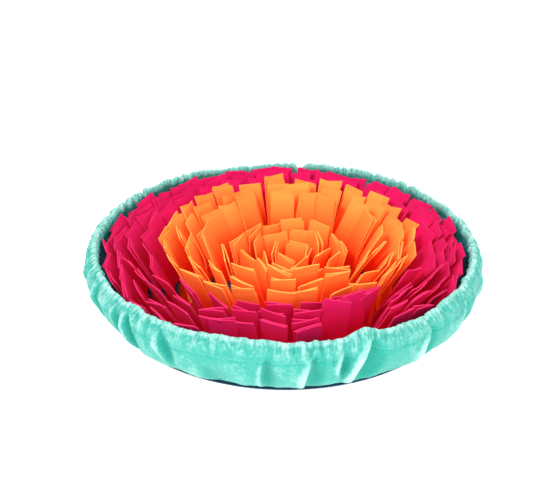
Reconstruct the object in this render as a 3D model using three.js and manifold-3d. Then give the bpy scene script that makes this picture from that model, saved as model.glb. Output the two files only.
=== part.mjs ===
// A snuffle bowl: a round cloth bowl whose floor is covered with rings of felt flaps.
//
// Millimetres, +Z up. The origin is on the ground under the middle of the bowl, the front
// of the bowl faces -Y, and azimuths are in degrees, anticlockwise from +X seen from above.

import * as THREE from 'three';
import { mergeVertices } from 'three/addons/utils/BufferGeometryUtils.js';
import Module from 'manifold-3d';

const wasm = await Module();
wasm.setup();

// Driving sizes of the bowl
const OUTER_RADIUS = 209.5; // the widest part of the wall
const RIM_RADIUS = 200;
const RIM_HEIGHT = 62;
const BASE_RADIUS = 185;
const BASE_THICKNESS = 3;
const CLEARANCE = 0.3; // between pieces that touch

// Cloth of the wall
const WALL_CLOTH = 2;
const HEM_THICKNESS = 4.5; // the rim's casing: two layers of cloth over elastic
const HEM_START = 0.74; // where the casing begins, as a share of the way up the wall
const WALL_COLUMNS = 144;
const OUTER_ROWS = [0, 0.12, 0.25, 0.38, 0.5, 0.62, 0.75, 0.88, 1]; // shares of the way up
const INNER_ROWS = [1, 0.86, HEM_START + 0.01, HEM_START - 0.01, 0.5, 0.25, 0];

// Felt flaps
const FLAP_WIDTH = 25.5;
const FLAP_THICKNESS = 2;
const FLAP_STEPS = 2; // straight stretches along each bent flap
const BACKING_WIDTH = 5;
const BACKING_THICKNESS = 1.5;
const ROOT_DEPTH = 0.8; // how far a flap's root is sunk into its backing strip
const BOW = 3; // how far a leaning flap bulges back towards the middle

const COLOURS = { mint: 0x6fe0cc, navy: 0x1c3d5c, magenta: 0xe0185c, orange: 0xff8a33 };

// Outer face of the wall, from its foot on the base to the top of the rim
const WALL_SECTION = [
  { radius: BASE_RADIUS - 2, height: BASE_THICKNESS + CLEARANCE },
  { radius: 201, height: 17 },
  { radius: OUTER_RADIUS, height: 41 },
  { radius: 206.5, height: 53 },
  { radius: RIM_RADIUS, height: RIM_HEIGHT },
];

// Soft creases in the wall: azimuth at the crease's top and foot, its half width in degrees,
// its depth, and the stretch of the way up the wall (0 foot, 1 rim) that it covers
const CREASES = [
  { top: 212, foot: 212, half: 24, depth: 3.5, from: -0.3, to: 0.8 },
  { top: 219.5, foot: 220, half: 3.0, depth: 4.5, from: 0.3, to: 0.95 },
  { top: 224.5, foot: 226, half: 3.0, depth: 6.0, from: 0.2, to: 0.92 },
  { top: 236.5, foot: 241, half: 3.0, depth: 5.0, from: 0.35, to: 0.95 },
  { top: 249, foot: 253, half: 7.0, depth: 2.5, from: 0.0, to: 0.6 },
  { top: 266, foot: 266, half: 2.6, depth: 4.0, from: 0.1, to: 0.82 },
  { top: 279, foot: 276.5, half: 3.4, depth: 5.0, from: 0.05, to: 0.88 },
  { top: 286, foot: 285.5, half: 2.6, depth: 4.5, from: 0.4, to: 0.86 },
  { top: 295, foot: 289, half: 5.0, depth: 7.5, from: 0.1, to: 0.92 },
  { top: 313.5, foot: 310.5, half: 4.0, depth: 5.5, from: 0.2, to: 0.86 },
  { top: 331, foot: 328, half: 3.5, depth: 4.0, from: 0.2, to: 0.9 },
  { top: 350, foot: 347, half: 3.0, depth: 4.0, from: 0.3, to: 0.95 },
  { top: 14, foot: 17, half: 4.0, depth: 4.5, from: 0.2, to: 0.9 },
  { top: 37, foot: 34, half: 3.2, depth: 5.5, from: 0.15, to: 0.92 },
  { top: 58, foot: 61, half: 5.0, depth: 5.0, from: 0.1, to: 0.85 },
  { top: 79, foot: 78, half: 3.0, depth: 4.0, from: 0.3, to: 0.95 },
  { top: 101, foot: 105, half: 4.5, depth: 6.5, from: 0.1, to: 0.9 },
  { top: 123, foot: 121, half: 3.2, depth: 4.5, from: 0.25, to: 0.92 },
  { top: 146, foot: 149, half: 4.6, depth: 5.0, from: 0.15, to: 0.88 },
  { top: 168, foot: 166, half: 3.0, depth: 4.0, from: 0.3, to: 0.95 },
  { top: 193, foot: 195, half: 3.6, depth: 4.5, from: 0.2, to: 0.9 },
  { top: 207, foot: 208, half: 2.8, depth: 3.5, from: 0.35, to: 0.95 },
];

// Where the gathered rim stands higher or lower than its mean
const RIM_WAVES = [
  { azimuth: 292, half: 7, rise: 7.5 },
  { azimuth: 262, half: 22, rise: 1.5 },
  { azimuth: 226, half: 9, rise: 2 },
  { azimuth: 322, half: 9, rise: 1.5 },
  { azimuth: 103, half: 26, rise: -3 },
  { azimuth: 86, half: 4, rise: -3 },
  { azimuth: 150, half: 12, rise: -1.5 },
];

// Fine gathers that the elastic draws up in the casing
const GATHERS = 41;
const GATHER_DEPTH = 0.8;

// Rings of flaps from the outside in. Each ring is sewn on in `arcs` lengths of fringe. Roots
// and tips lie on circles whose centre is moved along +X by `shift`, and tips `rise` to a height
// above the ground. `turn` is how far the ring is turned, in degrees, and `play` scales how
// unevenly its flaps hang.
const RINGS = [
  { name: 'magenta_row1', flaps: 38, arcs: 6, turn: 0, shift: 0, root: 166, tip: 187, rise: 58, play: 0.7 },
  { name: 'magenta_row2', flaps: 35, arcs: 6, turn: 5.1, shift: 1, root: 153, tip: 177, rise: 61, play: 0.8 },
  { name: 'magenta_row3', flaps: 32, arcs: 6, turn: 2, shift: 3, root: 140, tip: 165, rise: 64, play: 1.0 },
  { name: 'magenta_row4', flaps: 29, arcs: 6, turn: 0, shift: 5, root: 127, tip: 151, rise: 66, play: 1.2 },
  { name: 'orange_row1', flaps: 26, arcs: 6, turn: -6.5, shift: 7, root: 112, tip: 133, rise: 70, play: 1.4 },
  { name: 'orange_row2', flaps: 22, arcs: 6, turn: -6.6, shift: 8, root: 94, tip: 115, rise: 72, play: 1.6 },
  { name: 'orange_row3', flaps: 18, arcs: 9, turn: 10, shift: 8, root: 76, tip: 95, rise: 74, play: 1.6 },
  { name: 'centre_row1', flaps: 12, arcs: 4, turn: 8, shift: 8, root: 53, tip: 54, rise: 56, play: 2.0 },
  { name: 'centre_row2', flaps: 8, arcs: 4, turn: 0, shift: 8, root: 34, tip: 36, rise: 53, play: 2.0 },
  { name: 'centre_row3', flaps: 4, arcs: 4, turn: 20, shift: 8, root: 17, tip: 18, rise: 50, play: 1.2 },
];

// Towards the front the flaps stand more upright: the share of their lean that they lose
const FRONT_STAND = { azimuth: 280, half: 65, share: 0.4 };

// Flaps that hang unlike the rest of their ring: the place counts anticlockwise from +X
const ODD_FLAPS = [
  { ring: 'magenta_row1', place: 30, tip: 184, rise: 52, sway: 0, twist: 0 },
  { ring: 'magenta_row1', place: 31, tip: 184, rise: 52, sway: 0, twist: 0 },
  { ring: 'magenta_row2', place: 27, tip: 158, rise: 79, sway: 0, twist: 2 },
  { ring: 'magenta_row2', place: 28, tip: 154, rise: 80, sway: -3, twist: 2 },
  { ring: 'magenta_row3', place: 25, tip: 147, rise: 73, sway: 0, twist: 0 },
  { ring: 'magenta_row3', place: 26, tip: 146, rise: 70, sway: 0, twist: 0 },
  { ring: 'magenta_row4', place: 23, tip: 137, rise: 70, sway: 0, twist: 0 },
  { ring: 'magenta_row4', place: 24, tip: 138, rise: 69, sway: 0, twist: 0 },
];

const radians = THREE.MathUtils.degToRad;
const FULL_TURN = 2 * Math.PI;

const finishes = Object.fromEntries(
  Object.entries(COLOURS).map(([name, color]) => [
    name,
    new THREE.MeshStandardMaterial({ color, roughness: 0.95, metalness: 0 }),
  ]),
);

// A soft bump: 1 at the middle, falling to 0 at `half` to either side
function bump(offset, half) {
  return Math.abs(offset) < half ? 0.5 + 0.5 * Math.cos((Math.PI * offset) / half) : 0;
}

// The shorter way round from one azimuth to another, in degrees
function turn(from, to) {
  return THREE.MathUtils.euclideanModulo(to - from + 180, 360) - 180;
}

// A repeatable number from -1 to 1, so that each flap hangs in its own way
function uneven(ring, place, trait) {
  const wave = Math.sin(ring * 12.9898 + place * 78.233 + trait * 37.719) * 43758.5453;
  return 2 * (wave - Math.floor(wave)) - 1;
}

function geometryFrom(points, triangles) {
  const geometry = new THREE.BufferGeometry();
  geometry.setAttribute('position', new THREE.Float32BufferAttribute(points, 3));
  geometry.setIndex(triangles);
  geometry.computeVertexNormals();
  return geometry;
}

function solidFrom(geometry) {
  const bare = geometry.clone();
  bare.deleteAttribute('normal');
  const merged = mergeVertices(bare, 1e-4);
  return new wasm.Manifold(new wasm.Mesh({
    numProp: 3,
    vertProperties: new Float32Array(merged.attributes.position.array),
    triVerts: new Uint32Array(merged.index.array),
  }));
}

function geometryOf(solid) {
  const { vertProperties, triVerts } = solid.getMesh();
  return geometryFrom(Array.from(vertProperties), Array.from(triVerts));
}

// Closed skin over rings of points: each ring has the same number of points, in the same order
function skin(rings, closed) {
  const size = rings[0].length;
  const triangles = [];
  const spans = closed ? rings.length : rings.length - 1;
  for (let i = 0; i < spans; i += 1) {
    const here = i * size;
    const next = ((i + 1) % rings.length) * size;
    for (let j = 0; j < size; j += 1) {
      const k = (j + 1) % size;
      triangles.push(here + j, next + k, here + k, here + j, next + j, next + k);
    }
  }
  if (!closed) {
    const last = (rings.length - 1) * size;
    for (let j = 1; j < size - 1; j += 1) {
      triangles.push(0, j, j + 1, last, last + j + 1, last + j);
    }
  }
  return geometryFrom(rings.flat().flatMap((point) => [point.x, point.y, point.z]), triangles);
}

// The base: one flat round panel
function basePanel() {
  const disc = new THREE.CylinderGeometry(BASE_RADIUS, BASE_RADIUS, BASE_THICKNESS, 96);
  disc.rotateX(Math.PI / 2);
  disc.translate(0, 0, BASE_THICKNESS / 2);
  return disc;
}

// How far the wall is pushed inward at an azimuth and a share of the way up
function creaseDepth(azimuth, up) {
  let depth = 0;
  for (const { top, foot, half, depth: deepest, from, to } of CREASES) {
    const middle = foot + turn(foot, top) * up;
    const along = bump(up - (from + to) / 2, (to - from) / 2);
    depth += deepest * Math.sqrt(along) * bump(turn(middle, azimuth), half);
  }
  return depth;
}

function rimRise(azimuth) {
  return RIM_WAVES.reduce((sum, wave) => sum + wave.rise * bump(turn(wave.azimuth, azimuth), wave.half), 0);
}

// Small ripples that fade out below the casing, closer together in some places than in others
function gather(azimuth, up) {
  const phase = radians(azimuth) * GATHERS + 2.2 * Math.sin(radians(azimuth) * 5 + 1);
  return GATHER_DEPTH * Math.sin(phase) * THREE.MathUtils.smoothstep(up, 0.5, 0.95);
}

// The wall: a thin cloth with a thicker casing at its rim, one section for each column
function wallPanel() {
  const curve = new THREE.SplineCurve(
    WALL_SECTION.map(({ radius, height }) => new THREE.Vector2(radius, height)),
  );
  const within = (up, depth, beyond = 0) => {
    const along = curve.getTangentAt(up);
    const inward = new THREE.Vector2(-along.y, along.x);
    return { up, at: curve.getPointAt(up).addScaledVector(inward, depth).addScaledVector(along, beyond) };
  };
  const section = [
    ...OUTER_ROWS.map((up) => within(up, 0)),
    within(1, HEM_THICKNESS / 2, 1),
    ...INNER_ROWS.map((up) => within(up, up > HEM_START ? HEM_THICKNESS : WALL_CLOTH)),
  ];
  const rings = [];
  for (let column = 0; column < WALL_COLUMNS; column += 1) {
    const azimuth = (360 * column) / WALL_COLUMNS;
    const cos = Math.cos(radians(azimuth));
    const sin = Math.sin(radians(azimuth));
    rings.push(section.map(({ up, at }) => {
      const radius = at.x - creaseDepth(azimuth, up) + gather(azimuth, up);
      const height = at.y + rimRise(azimuth) * THREE.MathUtils.smoothstep(up, 0.3, 1);
      return new THREE.Vector3(radius * cos, radius * sin, height);
    }));
  }
  return skin(rings, true);
}

// Where one flap stands, leans and turns
function flapPose(ring, row, place) {
  const { name, flaps, turn: turned, root, tip, rise, play } = ring;
  const azimuth = ((place + 0.5) * 360) / flaps + turned;
  const stand = FRONT_STAND.share * bump(turn(FRONT_STAND.azimuth, azimuth), FRONT_STAND.half);
  const lean = (tip - root) * (1 - stand);
  const stagger = (place % 2 ? 1 : -1) * (1.4 + 0.4 * play);
  const odd = ODD_FLAPS.find((flap) => flap.ring === name && flap.place === place);
  return {
    azimuth,
    root,
    tip: root + lean + stagger + play * uneven(row, place, 1),
    rise: Math.sqrt(rise ** 2 + (tip - root) ** 2 - lean ** 2) + 1.8 * play * uneven(row, place, 2),
    sway: 1.6 * play * uneven(row, place, 3),
    twist: 5 * play * uneven(row, place, 4),
    ...odd,
  };
}

// One flap: a flat strip, bent outward as it rises, that turns a little towards its tip
function flap(pose, shift) {
  const { azimuth, root, tip, rise, sway, twist } = pose;
  const angle = radians(azimuth);
  const outward = new THREE.Vector3(Math.cos(angle), Math.sin(angle), 0);
  const sideways = new THREE.Vector3(-Math.sin(angle), Math.cos(angle), 0);
  const middle = new THREE.Vector3(shift, 0, 0);
  const foot = BASE_THICKNESS + CLEARANCE + BACKING_THICKNESS - ROOT_DEPTH;
  const start = middle.clone().addScaledVector(outward, root).setZ(foot);
  const end = middle.clone().addScaledVector(outward, tip).addScaledVector(sideways, sway).setZ(rise);
  const bulge = start.clone().lerp(end, 0.5).addScaledVector(outward, -2 * BOW);
  const path = new THREE.QuadraticBezierCurve3(start, bulge, end);
  const rings = [];
  for (let i = 0; i <= FLAP_STEPS; i += 1) {
    const share = i / FLAP_STEPS;
    const along = path.getTangent(share);
    const across = sideways.clone().applyAxisAngle(new THREE.Vector3(0, 0, 1), radians(twist) * share);
    across.addScaledVector(along, -across.dot(along)).normalize();
    const through = across.clone().cross(along);
    const at = path.getPoint(share);
    rings.push([[-1, -1], [1, -1], [1, 1], [-1, 1]].map(([side, face]) => at.clone()
      .addScaledVector(across, (side * FLAP_WIDTH) / 2)
      .addScaledVector(through, (face * FLAP_THICKNESS) / 2)));
  }
  return skin(rings, false);
}

// A narrow strip of felt laid on the base along part of a ring, straight under each flap
function backing(ring, from, to) {
  const low = BASE_THICKNESS + CLEARANCE;
  const count = to - from;
  const step = FULL_TURN / ring.flaps;
  const stretch = 1 / Math.cos(step / 2);
  const margin = CLEARANCE / ring.root;
  const rings = [];
  for (let i = 0; i <= count; i += 1) {
    let angle = radians(ring.turn) + (from + i) * step;
    if (i === 0) angle += margin;
    if (i === count) angle -= margin;
    rings.push([[-1, 0], [1, 0], [1, 1], [-1, 1]].map(([side, face]) => {
      const radius = (ring.root + (side * BACKING_WIDTH) / 2) * stretch;
      return new THREE.Vector3(
        ring.shift + radius * Math.cos(angle),
        radius * Math.sin(angle),
        low + face * BACKING_THICKNESS,
      );
    }));
  }
  return skin(rings, false);
}

// One length of fringe: the flaps of some places, joined at their roots to one backing strip
function fringe(ring, row, from, to) {
  let solid = solidFrom(backing(ring, from, to));
  for (let place = from; place < to; place += 1) {
    solid = solid.add(solidFrom(flap(flapPose(ring, row, place), ring.shift)));
  }
  return geometryOf(solid);
}

const group = new THREE.Group();

function addPiece(name, geometry, finish) {
  const mesh = new THREE.Mesh(geometry, finishes[finish]);
  mesh.name = name;
  group.add(mesh);
}

addPiece('base_panel', basePanel(), 'navy');
addPiece('wall_panel', wallPanel(), 'mint');
RINGS.forEach((ring, row) => {
  const finish = ring.name.startsWith('magenta') ? 'magenta' : 'orange';
  for (let arc = 0; arc < ring.arcs; arc += 1) {
    const from = Math.round((arc * ring.flaps) / ring.arcs);
    const to = Math.round(((arc + 1) * ring.flaps) / ring.arcs);
    addPiece(`${ring.name}_arc${arc + 1}`, fringe(ring, row, from, to), finish);
  }
});

export default group;
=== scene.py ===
# %% [markdown]
# # A snuffle bowl
# A snuffle bowl is a shallow cloth bowl whose floor is covered with rings of cut felt. Dry food is
# dropped between the flaps, and a pet noses it out again. This lesson dresses the plain solids of
# the bowl with what the eye sees: woven cloth gathered on elastic, and folded strips of felt.
# The solids arrive as a fixed frame in metres, so each piece made here goes where its solid is.

# %% Load the frame
import math
from collections import namedtuple

import bmesh
import bpy
import numpy as np
from mathutils import Matrix, Vector


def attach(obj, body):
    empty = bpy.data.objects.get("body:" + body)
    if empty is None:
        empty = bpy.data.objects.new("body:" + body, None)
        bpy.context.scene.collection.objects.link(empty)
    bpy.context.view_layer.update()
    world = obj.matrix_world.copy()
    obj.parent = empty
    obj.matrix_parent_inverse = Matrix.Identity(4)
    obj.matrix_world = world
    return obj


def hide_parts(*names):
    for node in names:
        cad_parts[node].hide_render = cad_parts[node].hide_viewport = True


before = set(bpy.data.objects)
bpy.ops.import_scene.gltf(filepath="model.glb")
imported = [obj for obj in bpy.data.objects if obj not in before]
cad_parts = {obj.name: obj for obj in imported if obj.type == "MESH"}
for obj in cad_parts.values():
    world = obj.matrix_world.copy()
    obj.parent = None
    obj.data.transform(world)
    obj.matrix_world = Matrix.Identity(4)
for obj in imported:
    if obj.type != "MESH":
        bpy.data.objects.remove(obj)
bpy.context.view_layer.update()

# %% [markdown]
# ## The camera
# The real camera stood in front of the bowl and a little above it. How much narrower the felt
# strips look at the back than at the front gives its distance, and the flattening of the rim
# gives its height. The picture is cropped a little off its centre, so the lens is shifted too.

# %% Place the camera
PHOTO_WIDTH = 548  # pixels
FOCAL_LENGTH = 1023  # pixels
OFF_CENTRE = (9.6, 24.0)  # pixels that the crop moves the view right and down
SENSOR_WIDTH = 36  # millimetres
CAMERA_DISTANCE = 1.10
CAMERA_ELEVATION = math.radians(29.5)
CAMERA_ROLL = math.radians(0.7)
LOOK_AT = Vector((0, 0, 0.030))

back = Vector((0, -math.cos(CAMERA_ELEVATION), math.sin(CAMERA_ELEVATION)))
level = Vector((1, 0, 0))
upright = back.cross(level)
right = level * math.cos(CAMERA_ROLL) + upright * math.sin(CAMERA_ROLL)
up = upright * math.cos(CAMERA_ROLL) - level * math.sin(CAMERA_ROLL)

lens = bpy.data.cameras.new("camera")
lens.sensor_width = SENSOR_WIDTH
lens.lens = SENSOR_WIDTH * FOCAL_LENGTH / PHOTO_WIDTH
lens.shift_x = -OFF_CENTRE[0] / PHOTO_WIDTH
lens.shift_y = OFF_CENTRE[1] / PHOTO_WIDTH
camera = bpy.data.objects.new("camera", lens)
camera.matrix_world = Matrix.Translation(LOOK_AT + back * CAMERA_DISTANCE) @ Matrix(
    (right, up, back)
).transposed().to_4x4()
bpy.context.scene.collection.objects.link(camera)
bpy.context.scene.camera = camera
print(f"camera {CAMERA_DISTANCE} m away with a {lens.lens:.0f} mm lens")

# %% [markdown]
# ## Colours, nodes and materials
# A colour is easiest to pick as the hex code of a pixel, but a shader works in linear light, so
# one function turns the one into the other. A second one adds a node to any tree, for a material
# or for Geometry Nodes, with its settings and with what feeds it, because a tree that is written
# out link by link is hard to read. A third one starts a material.

# %% Three small helpers
MATH = "ShaderNodeMath"
VECTOR_MATH = "ShaderNodeVectorMath"


def to_linear(code):
    """A hex sRGB colour as the linear red, green, blue and alpha that a shader takes."""
    shares = [int(code[i : i + 2], 16) / 255 for i in (0, 2, 4)]
    return [s / 12.92 if s <= 0.04045 else ((s + 0.055) / 1.055) ** 2.4 for s in shares] + [1.0]


def add_node(tree, kind, settings=None, inputs=None):
    """Adds a node. Its settings may be the name of its operation alone.

    An input is a plain value, a socket that feeds it, or a node, for its first output in use.
    """
    node = tree.nodes.new(kind)
    if isinstance(settings, str):
        settings = {"operation": settings}
    for name, value in (settings or {}).items():
        setattr(node, name, value)
    for socket, value in (inputs or {}).items():
        if isinstance(value, bpy.types.Node):
            value = next(output for output in value.outputs if not output.is_unavailable)
        if isinstance(value, bpy.types.NodeSocket):
            tree.links.new(value, node.inputs[socket])
        else:
            node.inputs[socket].default_value = value
    return node


def new_material(name):
    """A material with its node tree and its shader."""
    material = bpy.data.materials.new(name)
    material.use_nodes = True
    return material, material.node_tree, material.node_tree.nodes["Principled BSDF"]


print("orange felt in linear light:", [round(v, 3) for v in to_linear("ff8a33")])

# %% [markdown]
# ## Soft studio light
# The bowl was shot against white with broad lights, so nothing throws a hard shadow. A white
# world lights it from all round, a big lamp above the left shoulder of the camera shapes it, a
# weaker one in front lifts the folds, and one behind keeps the back of the bowl as fresh.

# %% Light and floor
WORLD_STRENGTH = 0.70
LAMPS = [
    # place, width, watts
    ((-0.80, -1.08, 1.62), 0.55, 29),
    ((0.55, -1.30, 0.70), 0.8, 11),
    ((0.40, 1.40, 1.10), 0.9, 13),
]
FLOOR_RADIUS = 6.0
FLOOR_GLOW = 0.62  # the sweep is lit from behind as well, so that it stays white under the bowl


def add_object(name, data):
    """Puts a mesh or a lamp into the scene as an object."""
    thing = bpy.data.objects.new(name, data)
    bpy.context.scene.collection.objects.link(thing)
    return thing


world = bpy.data.worlds.new("white studio")
world.use_nodes = True
world.node_tree.nodes["Background"].inputs["Color"].default_value = to_linear("ffffff")
world.node_tree.nodes["Background"].inputs["Strength"].default_value = WORLD_STRENGTH
bpy.context.scene.world = world
bpy.context.scene.view_settings.view_transform = "Standard"

for place, width, watts in LAMPS:
    light = bpy.data.lights.new("softbox", "AREA")
    light.size = width
    light.energy = watts
    lamp = add_object("softbox", light)
    lamp.location = place
    lamp.rotation_euler = (LOOK_AT - Vector(place)).to_track_quat("-Z", "Y").to_euler()

floor_mesh = bpy.data.meshes.new("floor")
bm = bmesh.new()
bmesh.ops.create_circle(bm, cap_ends=True, segments=64, radius=FLOOR_RADIUS)
bm.to_mesh(floor_mesh)
bm.free()
floor = add_object("floor", floor_mesh)

paper, _, paper_shader = new_material("matt_white_paper")
paper_shader.inputs["Base Color"].default_value = to_linear("f6f6f6")
paper_shader.inputs["Roughness"].default_value = 0.9
paper_shader.inputs["Emission Color"].default_value = to_linear("ffffff")
paper_shader.inputs["Emission Strength"].default_value = FLOOR_GLOW
floor_mesh.materials.append(paper)
print(len(LAMPS), "softboxes over a floor", 2 * FLOOR_RADIUS, "m across")

# %% [markdown]
# ## Woven cloth
# The wall is a light polyester cloth, plain woven, dyed mint and brushed a little, which makes it
# look soft. The base is a heavier polyester cloth, dyed navy. Real threads lie 0.4 mm apart, finer
# than a pixel of the picture, so the weave is drawn at 1.2 mm. It follows the UV map, which is in
# metres along and across the cloth, as the threads do. Two noises lie over the weave: crinkles
# that folding and packing leave all over thin cloth, and upright tucks at the elastic. They could
# be sculpted, but a bump costs no faces.

# %% Weave and wrinkles
THREAD_SPACING = 0.0012
WAVE_RATE = 20  # radians that a wave texture turns for each unit of its scale
TUCK_SIZE = (0.0030, 0.009)  # a tuck is this wide round the bowl and this long up it
TUCK_SHARE = 1.3  # how strong the tucks are against the crinkles
CRINKLE_SIZE = 0.0036


def weave_height(tree, uv):
    """The height of a plain weave: two sets of threads that cross."""
    look = {"Vector": uv, "Scale": math.tau / WAVE_RATE / THREAD_SPACING, "Distortion": 0.4, "Detail": 1.0}
    warp, weft = [
        add_node(tree, "ShaderNodeTexWave", {"bands_direction": way, "wave_profile": "SIN"}, look)
        for way in ("X", "Y")
    ]
    return add_node(tree, MATH, "MULTIPLY", {0: warp.outputs["Fac"], 1: weft.outputs["Fac"]})


def wrinkle_height(tree, uv):
    """The height of the crinkles, with tucks as well where the attribute `gathered` is 1."""
    narrowing = (1 / TUCK_SIZE[0], 1 / TUCK_SIZE[1], 0)
    stretched = add_node(tree, VECTOR_MATH, "MULTIPLY", {0: uv, 1: narrowing})
    look = {"Vector": stretched, "Scale": 1.0, "Detail": 3.0, "Roughness": 0.6, "Distortion": 0.8}
    tucks = add_node(tree, "ShaderNodeTexNoise", None, look)
    place = add_node(tree, "ShaderNodeTexCoord").outputs["Object"]
    look = {"Vector": place, "Scale": 1 / CRINKLE_SIZE, "Detail": 6.0, "Roughness": 0.74}
    crinkles = add_node(tree, "ShaderNodeTexNoise", None, look)
    gathered = add_node(tree, "ShaderNodeAttribute", {"attribute_name": "gathered"}).outputs["Fac"]
    level_tucks = add_node(tree, MATH, "SUBTRACT", {0: tucks, 1: 0.5})
    drawn = add_node(tree, MATH, "MULTIPLY", {0: level_tucks, 1: gathered})
    return add_node(tree, MATH, "MULTIPLY_ADD", {0: drawn, 1: TUCK_SHARE, 2: crinkles})


print(f"weave at {THREAD_SPACING * 1000:.1f} mm, crinkles at {CRINKLE_SIZE * 1000:.1f} mm")

# %% [markdown]
# ## Mint for the wall, navy for the base
# Soft light leaves cloth paler on its ridges and deeper in its valleys, and here that light and
# shade is painted into the colour. One attribute, 1 on a ridge and 0 in a valley, picks a painted
# tint, with the wrinkles added to it. Another, `shaded`, is 1 low down inside the bowl, where the
# painted shade takes on the blue of the navy base that the cloth reflects. The wall is thin
# enough for light to come through. That is drawn as a faint glow, which is quicker to render than
# light that is traced through cloth.

# %% Woven materials
WRINKLE_DEPTH = 0.0026
WRINKLE_SHADING = 1.5  # how strongly wrinkles change the painted shade and highlight, against the folds
BACKLIGHT = 0.14  # light that comes through the thin wall from the bright room behind it
# painted shade low inside the bowl, blue from the navy base; then the glow, and the glow there
PAINTED_SHADE_BLUE, GLOW, SHADED_GLOW = "0d5f7c", "3cc4b4", "02141e"


def woven(name, shading_tints, roughness, crinkling, thinness):
    """A plain weave: painted shade in its valleys, a middle tint, a painted highlight on ridges."""
    material, tree, shader = new_material(name)
    uv = add_node(tree, "ShaderNodeUVMap", {"uv_map": "cloth"})
    wrinkles = wrinkle_height(tree, uv)
    raised, shaded = [
        add_node(tree, "ShaderNodeAttribute", {"attribute_name": label}).outputs["Fac"]
        for label in ("raised", "shaded")
    ]
    # painted light and shade: how far the cloth stands out, with the wrinkles added
    level = add_node(tree, MATH, "SUBTRACT", {0: wrinkles, 1: 0.5})
    clamped = {"operation": "MULTIPLY_ADD", "use_clamp": True}
    height = add_node(tree, MATH, clamped, {0: level, 1: WRINKLE_SHADING * crinkling, 2: raised})
    # a ramp from painted shade in the valleys to a painted highlight on the ridges
    painted_tint = add_node(tree, "ShaderNodeValToRGB", None, {"Fac": height})
    valley, middle, ridge = [to_linear(code) for code in shading_tints]
    painted_tint.color_ramp.elements[0].color = valley
    painted_tint.color_ramp.elements[1].color = ridge
    painted_tint.color_ramp.elements.new(0.5).color = middle

    # low inside the bowl the tint turns to painted shade, blue from the navy base
    look = {"Factor": shaded, "A": painted_tint, "B": to_linear(PAINTED_SHADE_BLUE)}
    colour = add_node(tree, "ShaderNodeMix", {"data_type": "RGBA"}, look)
    look = {"Factor": shaded, "A": to_linear(GLOW), "B": to_linear(SHADED_GLOW)}
    glow = add_node(tree, "ShaderNodeMix", {"data_type": "RGBA"}, look)
    look = {"Height": wrinkles, "Strength": crinkling, "Distance": WRINKLE_DEPTH}
    wrinkled = add_node(tree, "ShaderNodeBump", None, look)
    look = {"Height": weave_height(tree, uv), "Strength": 0.3, "Distance": THREAD_SPACING / 3}
    threaded = add_node(tree, "ShaderNodeBump", None, {**look, "Normal": wrinkled})

    tree.links.new(colour.outputs["Result"], shader.inputs["Base Color"])
    tree.links.new(threaded.outputs["Normal"], shader.inputs["Normal"])
    tree.links.new(glow.outputs["Result"], shader.inputs["Emission Color"])
    shader.inputs["Emission Strength"].default_value = BACKLIGHT if thinness else 0.0
    shader.inputs["Subsurface Weight"].default_value = thinness
    shader.inputs["Subsurface Radius"].default_value = (0.2, 1.0, 0.9)
    shader.inputs["Subsurface Scale"].default_value = 0.004
    shader.inputs["Roughness"].default_value = roughness
    shader.inputs["Sheen Weight"].default_value = 0.12
    shader.inputs["Sheen Roughness"].default_value = 0.4
    shader.inputs["Specular IOR Level"].default_value = 0.3
    return material


# tints: painted shade in the valleys, the middle, and a painted highlight on the ridges
mint_cloth = woven("brushed_woven_polyester_mint", ("069080", "3b9f92", "b2d6cf"), 0.55, 0.6, 0.25)
navy_cloth = woven("woven_polyester_navy", ("0b2f4c", "0d3450", "123e5c"), 0.75, 0.1, 0.0)
print("woven:", mint_cloth.name, "and", navy_cloth.name)

# %% [markdown]
# ## Pressed felt
# The flaps are cut from needled polyester felt, 1.2 mm thick. Its face is matt and a little cloudy
# where the fibres lie in tufts, and a cut edge gets a painted highlight, paler where loose fibre
# ends catch the light. An attribute called `cut`, 1 on the cut faces, tells the shader where those
# edges are. `shade` makes each layer a touch lighter or darker, and `from_root` turns it redder low
# down, a painted shade where light reaches it only after it has bounced between the flaps.

# %% Felt materials
TUFT_SIZE = 0.0035  # how wide the cloudy tufts of fibre are
FIBRE_SIZE = 0.0011  # fibres are 0.02 mm thick, drawn coarser so that their grain shows
TUFT_SHARE, FIBRE_SHARE = 0.2, 0.3  # how much each of them adds to the brightness
DEEP_BELOW, LIT_ABOVE = 0.25, 0.95  # shares of the way up a flap: below the first all painted red shade, above the second none
BOUNCED_LIGHT = 0.16  # a little of the light that many more bounces would bring between the flaps


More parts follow.
